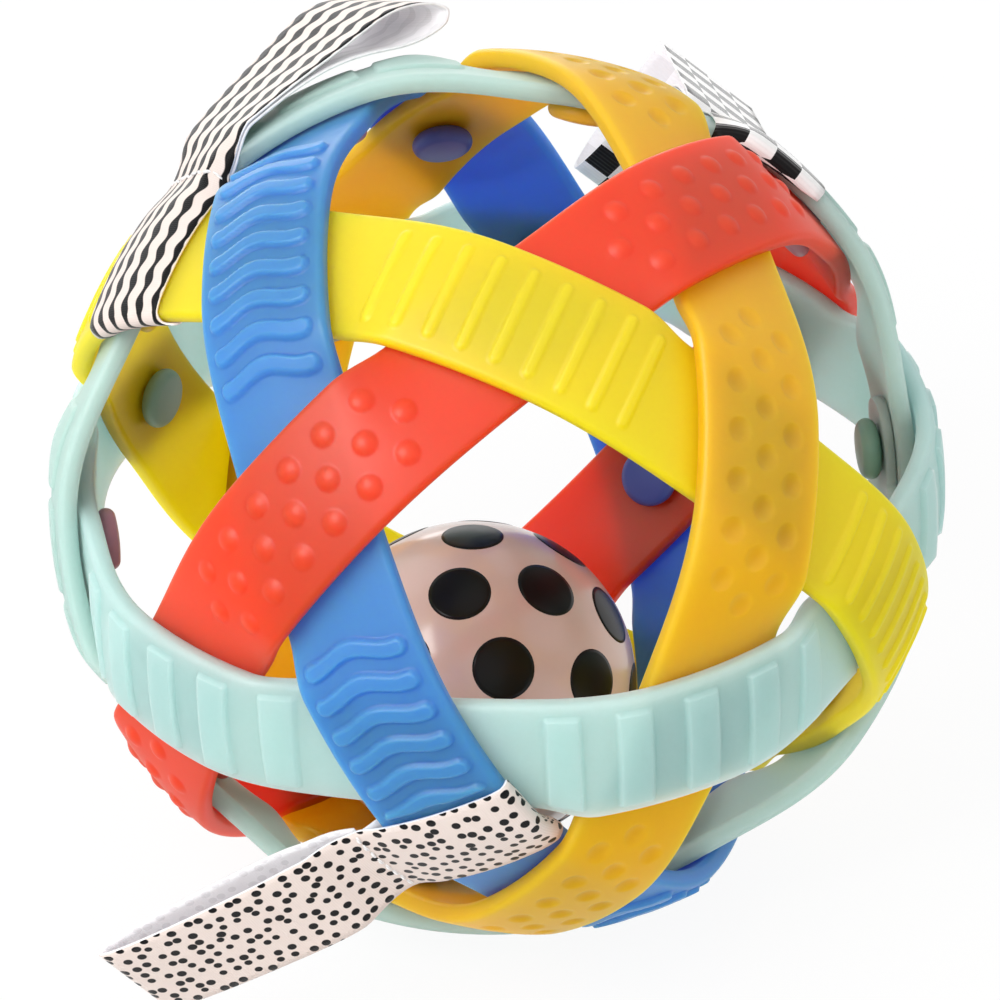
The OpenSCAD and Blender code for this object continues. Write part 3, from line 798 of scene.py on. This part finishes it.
def ribbon_grid(name, cage, ribbons):
    """Rows of points along a ribbon: round its strip, out along the loop and back."""
    weave, tag = Weave(cage), TAGS[name]
    wrap, line = wrap_rows(tag, weave, ribbons), loop_rows(tag, ribbons)
    w, tail = ribbons.wrap_width / MM / 2, ribbons.width / MM / 2
    seam_y, seam_h = seam_place(weave, ribbons)
    v = np.linspace(-1, 1, COLUMNS)
    turn = np.degrees(1 / weave.r)
    share = np.arange(WRAP_ROWS)[:, None] / WRAP_ROWS
    spread = tag.spread / 2 * step((share - 0.3) / 0.2) * step((1 - share) / 0.2)
    along = wrap[:, 2:3] + spread - tag.side * v * (wrap[:, 3:4] + np.abs(spread))
    on = weave.point(tag.strip, tag.angle + along * turn, tag.side * wrap[:, 0:1], wrap[:, 1:2])
    u, z = line[:, 0:1], line[:, 1:2]
    half = v * (w + (tail - w) * step(u / WIDEN)) * (1 - tag.gather * np.exp(-(u / DRAW_IN) ** 2))
    twist = np.radians(tag.twist) * u * MM / ribbons.loop
    base, out, sideways, up = seam_frame(name, cage, ribbons)
    flat = (base + u[..., None] * out + (half * np.cos(twist) + tag.drift * u)[..., None] * sideways
            + (z + half * np.sin(twist))[..., None] * up)
    bent = weave.point(tag.strip, tag.angle + math.degrees(tag.shift) - tag.side * half * turn,
                       tag.side * (seam_y + np.minimum(u, WIDEN)), seam_h + z)
    k = step(u / LEAVE)[..., None]
    grid = np.vstack([on, bent * (1 - k) + flat * k])
    near = np.arange(WRAP_ROWS - 10, WRAP_ROWS + 15)
    for _ in range(6):
        grid[near] = grid[near] * 0.5 + (grid[near - 1] + grid[near + 1]) * 0.25
    return grid


def make_ribbon(tag, grid, ribbons):
    """One ribbon as a thin closed sheet, with the length that it is cut to."""
    n, m = grid.shape[:2]
    normal = np.cross(np.gradient(grid, axis=0), np.gradient(grid, axis=1))
    normal /= np.linalg.norm(normal, axis=2, keepdims=True)
    thick = normal * ribbons.thickness / MM / 2
    rings = np.concatenate([grid + thick, (grid - thick)[:, ::-1]], axis=1).reshape(-1, 3)
    along = running_length(grid[:, m // 2])
    run = float(along[-1])
    place = SIDE_WIDTH * np.linspace(0, 1, m)
    left = np.concatenate([PRINT_START + place, PLAIN_START + place[::-1]])
    right = np.roll(left, -1)
    # The thin edges take the colours at the borders of the plain side
    left[m - 1] = right[m - 1] = PLAIN_START
    left[-1] = right[-1] = PLAIN_START + SIDE_WIDTH
    uv = tube_uv(along / run, left, right, np.full(2 * m, PLAIN_START))
    return new_piece(f"{tag}_ribbon", rings, tube_faces(n, 2 * m), uv), run


def make_stitches(tag, cage, ribbons, grid):
    """Row of thread stitches across a loop just beyond its seam."""
    m = grid.shape[1]
    base, out, _, above = seam_frame(tag, cage, ribbons)
    away = (grid[WRAP_ROWS:WRAP_ROWS + 40, m // 2] - base) @ out
    row = WRAP_ROWS + int(np.abs(away - STITCHES_OUT).argmin())
    line = grid[row]
    ahead = grid[row + 1] - line
    normal = np.cross(ahead, np.gradient(line, axis=0))
    normal /= np.linalg.norm(normal, axis=1, keepdims=True)
    if normal[m // 2] @ above < 0:
        normal = -normal
    zigzag = 0.45 if tag == "waves" else 0.1
    r = ribbons.thread / MM / 2 * (0.6 if tag == "check" else 1)
    count, rings, spokes = ribbons.stitches, 11, 10
    turns = np.radians(np.arange(spokes) * 360 / spokes)

    def sample(rows, x):
        return np.array([np.interp(x, np.arange(m), rows[:, c]) for c in range(3)])

    points, faces = [], []
    for k in range(count):
        faces += tube_faces(rings, spokes, start=len(points))
        x0, x1 = (np.array([k + 0.14, k + 0.86]) / count * 0.92 + 0.04) * (m - 1)
        for t in np.linspace(0, 1, rings):
            x = x0 + (x1 - x0) * t
            up, side = sample(normal, x), sample(ahead, x)
            side /= np.linalg.norm(side)
            swell = r * (0.35 + 0.65 * math.sin(math.pi * (0.08 + 0.84 * t)) ** 0.5)
            sway = zigzag * (t - 0.5) * (-1) ** k
            at = sample(line, x) + up * (0.12 + 0.22 * math.sin(math.pi * t)) + side * sway
            points += [at + swell * (side * math.cos(q) + up * math.sin(q)) for q in turns]
    return new_piece(f"{tag}_thread", points, faces)


# Studs

def on_lap(way):
    """Whether a stud in a direction goes through the lap of the strip below it."""
    return any(way @ direction(s, CROSS_STEP * (2 * LAPS[s] + 1)) > 0.99 for s in STRIPS)


def make_studs(strip, cage):
    """The five studs of a strip: shanks with rounded heads inside the cage."""
    weave = Weave(cage)
    head, rise, shank = cage.head / MM / 2, cage.head_height / MM, cage.shank / MM / 2
    edge = rise / 2
    flat = head - edge
    under = weave.r - weave.lift - weave.t / 2
    seat = math.sqrt(under ** 2 - head ** 2) - 0.18
    top = weave.r + weave.lift - weave.t / 2 + 1.4
    bodies = []
    for k in range(5):
        way = direction(strip, 2 * CROSS_STEP * k)
        face = seat - on_lap(way) * (cage.tongue + cage.tongue_gap) / MM
        rows = [(flat * x, face - rise - 0.2 * (1 - x * x)) for x in np.linspace(0, 0.95, 9)]
        rows += [(flat + edge * math.cos(t), face - edge + edge * math.sin(t))
                 for t in np.radians(np.linspace(-90, 90, 17))]
        rows += [(shank, face), (shank, top), (0, top)]
        place = Vector(way).to_track_quat("Z", "Y").to_matrix().to_4x4()
        bodies.append(lathe(rows, 48, Matrix.Translation((0, 0, weave.height)) @ place))
    return turned_piece(f"{strip}_stud_row", bodies)


# Rattle ball

def ball_centre():
    """Centre of the rattle ball, from the joint that turns it."""
    joint = next(j for j in frame["joints"] if j["name"] == "ball_spin")
    return np.array(joint["pos_m"]) / MM


def make_shell(name, rattle, place, top):
    """One shell of the rattle ball, with a rounded lip at the seam."""
    def arc(r, count):
        turn = np.linspace(math.asin(start / r), math.pi / 2, count)
        return [(r * math.cos(t), r * math.sin(t)) for t in turn]

    r, lip = rattle.diameter / MM / 2, 0.35
    hollow = r - rattle.wall / MM
    start = lip if top else rattle.seam / MM + lip
    rim = [(hollow, start - lip), (r - 0.4, start - lip), (r - 0.14, start - 0.24)]
    profile = np.array(arc(hollow, 24)[::-1] + rim + arc(r, 60))
    profile[[0, -1], 0] = 0
    if not top:
        profile = profile[::-1] * np.array([1, -1])
    return turned_piece(name, [lathe(profile, 144, place)])


def dot_directions():
    """Middles of the dots: corners of an icosahedron and the middles of its edges, with one left bare."""
    g = (1 + 5 ** 0.5) / 2
    corners = [p for a in (1, -1) for b in (g, -g) for p in ((0, a, b), (a, b, 0), (b, 0, a))]
    corners = np.array(corners) / math.hypot(1, g)
    rows = list(corners)
    for i in range(12):
        for j in range(i):
            if corners[i] @ corners[j] > 0.4:
                rows.append((corners[i] + corners[j]) / np.linalg.norm(corners[i] + corners[j]))
    turn = np.array(Matrix.Rotation(DOT_TURN.length, 3, DOT_TURN.normalized()))
    rows = np.array(rows) @ turn.T
    return rows[rows @ np.array(BARE_SPOT) < 0.93]


def make_dots(rattle):
    """All dots of the ball as thin caps with soft rims."""
    r, size, rings = rattle.diameter / MM / 2, rattle.dot / MM / 2, 8
    spread = size / r
    # Rows from the sunk underside up over the rim to the middle
    rows = [(spread, r - 0.25), (spread, r + 0.04)]
    rows += [(spread * k / rings, r + 0.06) for k in range(rings - 1, -1, -1)]
    profile = [(0, rows[0][1] * math.cos(spread))] + [(at * math.sin(q), at * math.cos(q)) for q, at in rows]
    centre = Matrix.Translation(Vector(ball_centre()))
    bodies = []
    for d in dot_directions():
        side = np.cross(d, [0.0, 0.0, 1.0] if abs(d[2]) < 0.9 else [1.0, 0.0, 0.0])
        side /= np.linalg.norm(side)
        place = Matrix((side, np.cross(d, side), d)).transposed().to_4x4()
        bodies.append(lathe(profile, 40, centre @ place))
    return turned_piece("ball_dots", bodies)


def paint_node(node, material):
    """Give a solid that stays its finished material."""
    mesh = frame["nodes"][node].data
    mesh.materials.clear()
    mesh.materials.append(material)


# Stage

def make_floor(scene, stage):
    """A wide pale floor that the camera sees as nearly white."""
    h, z = FLOOR_HALF, -FLOOR_DROP
    mesh = bpy.data.meshes.new("floor")
    mesh.from_pydata([(-h, -h, z), (h, -h, z), (h, h, z), (-h, h, z)], [], [[0, 1, 2, 3]])
    floor = bpy.data.objects.new("floor", mesh)
    scene.collection.objects.link(floor)
    material, net, shader = new_material("floor_paper", Roughness=0.9)
    speck = net.add("TexNoise", in_Scale=40.0)
    net.link(net.mix(speck.outputs[0], shade(stage.floor, 0.99), stage.floor), shader.inputs["Base Color"])
    rays = net.add("LightPath").outputs
    mirrored = net.math("MAXIMUM", rays["Is Glossy Ray"], rays["Is Transmission Ray"])
    seen = net.math("MAXIMUM", rays["Is Camera Ray"], mirrored)
    glow = net.add("Emission", in_Color=(1, 1, 1, 1), in_Strength=1.0)
    blend = net.add("MixShader")
    net.link(net.times(seen, FLOOR_WHITE), blend.inputs[0])
    net.link(shader.outputs[0], blend.inputs[1])
    net.link(glow.outputs[0], blend.inputs[2])
    net.link(blend.outputs[0], material.node_tree.nodes["Material Output"].inputs["Surface"])
    mesh.materials.append(material)


def make_world(scene, stage):
    """Even white light all round, seen by the camera as plain white."""
    world = bpy.data.worlds.new("studio")
    scene.world = world
    world.use_nodes = True
    net = Net(world.node_tree)
    rays = net.add("LightPath").outputs
    seen = net.math("MAXIMUM", rays["Is Camera Ray"], rays["Is Transmission Ray"])
    level = net.plus(net.times(seen, 1 - stage.world_level), stage.world_level)
    light = world.node_tree.nodes["Background"]
    light.inputs["Color"].default_value = (1, 1, 1, 1)
    net.link(level, light.inputs["Strength"])


def make_lamp(scene, name, way, size, power):
    """A soft square lamp, one metre from the cage centre in a direction."""
    lamp = bpy.data.lights.new(name, "AREA")
    lamp.energy = power
    lamp.size = size
    holder = bpy.data.objects.new(name, lamp)
    way = way.normalized()
    holder.location = Vector((0, 0, scene.sensory_cage.height)) + way
    holder.rotation_euler = way.to_track_quat("Z", "Y").to_euler()
    scene.collection.objects.link(holder)


def make_camera(scene, stage):
    """The camera in the place that the photograph was taken from."""
    view = bpy.data.cameras.new("camera")
    view.lens, view.sensor_width = stage.lens, 36
    view.shift_x, view.shift_y = VIEW_SHIFT
    view.clip_start, view.clip_end = 0.01, 20
    holder = bpy.data.objects.new("camera", view)
    turn = Matrix((VIEW_RIGHT, VIEW_UP, VIEW_BACK)).transposed().to_4x4()
    place = Vector((0, 0, scene.sensory_cage.height)) + VIEW_DISTANCE * VIEW_BACK
    holder.matrix_world = Matrix.Translation(place) @ turn
    scene.collection.objects.link(holder)
    scene.camera = holder


# Operators

class SENSORY_OT_stage(Operator):
    """Set the floor, the soft light and the camera"""
    bl_idname = "sensory.stage"
    bl_label = "Stage"

    def execute(self, context):
        scene, stage = context.scene, context.scene.sensory_stage
        make_floor(scene, stage)
        make_world(scene, stage)
        key_way = VIEW_BACK - 0.6 * VIEW_RIGHT + 0.4 * VIEW_UP
        back_way = 0.6 * VIEW_UP - 0.3 * VIEW_RIGHT - 0.8 * VIEW_BACK
        make_lamp(scene, "key_lamp", key_way, 0.6, stage.key_power)
        make_lamp(scene, "back_lamp", back_way, 0.8, stage.back_power)
        make_camera(scene, stage)
        scene.view_settings.view_transform = "Standard"
        return {"FINISHED"}


class SENSORY_OT_strips(Operator):
    """Make the six strips with their moulded relief"""
    bl_idname = "sensory.strips"
    bl_label = "Strips"

    def execute(self, context):
        scene = context.scene
        for strip in STRIPS:
            piece = make_strip(strip, scene.sensory_cage, scene.sensory_relief)
            piece.data.materials.append(grained(
                f"{strip}_plastic", getattr(scene.sensory_colours, strip), Subsurface_Weight=1.0,
                Subsurface_Scale=0.016, Subsurface_Radius=DEPTHS.get(strip, EVEN_DEPTHS)))
            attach(piece, "cage")
            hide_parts(f"{strip}_band")
        return {"FINISHED"}


class SENSORY_OT_studs(Operator):
    """Make the studs at the crossings"""
    bl_idname = "sensory.studs"
    bl_label = "Studs"

    def execute(self, context):
        scene = context.scene
        for strip in STRIPS:
            piece = make_studs(strip, scene.sensory_cage)
            # The blue and mint stud colours hold painted shade: they are their strips' colours darkened
            base = getattr(scene.sensory_colours, f"{strip}_stud")
            piece.data.materials.append(grained(f"{strip}_stud_plastic", base, low=0.34, high=0.46))
            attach(piece, "cage")
            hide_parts(f"{strip}_studs")
        return {"FINISHED"}


class SENSORY_OT_rattle(Operator):
    """Make the rattle ball with its shells, dots and beads"""
    bl_idname = "sensory.rattle"
    bl_label = "Rattle ball"

    def execute(self, context):
        rattle = context.scene.sensory_rattle
        place = (Matrix.Translation(Vector(ball_centre())) @ Matrix.Rotation(rattle.seam_turn, 4, "Z")
                 @ Matrix.Rotation(rattle.seam_tilt, 4, "Y"))
        gloss = grained("ball_plastic", rattle.cream, low=0.3, high=0.4, bump=0.02, spread=0.03,
                        Coat_Weight=1.0, Coat_Roughness=0.15)
        for name, top in (("ball_front", True), ("ball_back", False)):
            piece = make_shell(f"{name}_half", rattle, place, top)
            piece.data.materials.append(gloss)
            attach(piece, "ball")
            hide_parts(f"{name}_shell")
        dots = make_dots(rattle)
        dots.data.materials.append(grained("dot_ink", rattle.black, low=0.26, high=0.36, bump=0.03,
                                           spread=0.2, Specular_IOR_Level=0.25))
        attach(dots, "ball")
        paint_node("rattle_beads", grained("bead_plastic", rattle.bead, low=0.25, high=0.35))
        return {"FINISHED"}


class SENSORY_OT_ribbons(Operator):
    """Make the three ribbon loops and their stitches"""
    bl_idname = "sensory.ribbons"
    bl_label = "Ribbon loops"

    def execute(self, context):
        scene = context.scene
        cage, ribbons = scene.sensory_cage, scene.sensory_ribbons
        thread = thread_material(ribbons)
        for tag in TAGS:
            grid = ribbon_grid(tag, cage, ribbons)
            piece, run = make_ribbon(tag, grid, ribbons)
            piece.data.materials.append(ribbon_material(tag, ribbons, run))
            base, out, _, _ = seam_frame(tag, cage, ribbons)
            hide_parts(f"{tag}_wrap", f"{tag}_tail")
            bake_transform(piece)
            stitches = make_stitches(tag, cage, ribbons, grid)
            stitches.data.materials.append(thread)
            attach(stitches, f"{tag}_loop")
            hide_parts(f"{tag}_stitches")
        return {"FINISHED"}


class SENSORY_PT_panel(Panel):
    """Sidebar panel with the sizes, the colours and the build steps"""
    bl_label = "Sensory ball"
    bl_space_type = "VIEW_3D"
    bl_region_type = "UI"
    bl_category = "Sensory ball"

    def draw(self, context):
        layout = self.layout
        for operator in OPERATORS:
            layout.operator(operator.bl_idname)
        for name in SETTINGS:
            box = layout.box()
            group = getattr(context.scene, name)
            for key in group.__annotations__:
                box.prop(group, key)


SETTINGS = {
    "sensory_cage": CageSizes,
    "sensory_relief": ReliefSizes,
    "sensory_colours": CageColours,
    "sensory_rattle": RattleSizes,
    "sensory_ribbons": RibbonSizes,
    "sensory_stage": StageSettings,
}
OPERATORS = (SENSORY_OT_stage, SENSORY_OT_strips, SENSORY_OT_studs, SENSORY_OT_rattle, SENSORY_OT_ribbons)


def register():
    for group in (*SETTINGS.values(), *OPERATORS, SENSORY_PT_panel):
        bpy.utils.register_class(group)
    for name, group in SETTINGS.items():
        setattr(bpy.types.Scene, name, PointerProperty(type=group))


def unregister():
    for name in SETTINGS:
        delattr(bpy.types.Scene, name)
    for group in reversed((*SETTINGS.values(), *OPERATORS, SENSORY_PT_panel)):
        bpy.utils.unregister_class(group)


def main():
    register()
    bpy.ops.sensory.stage()
    bpy.ops.sensory.strips()
    bpy.ops.sensory.studs()
    bpy.ops.sensory.rattle()
    bpy.ops.sensory.ribbons()


if __name__ == "__main__":
    main()
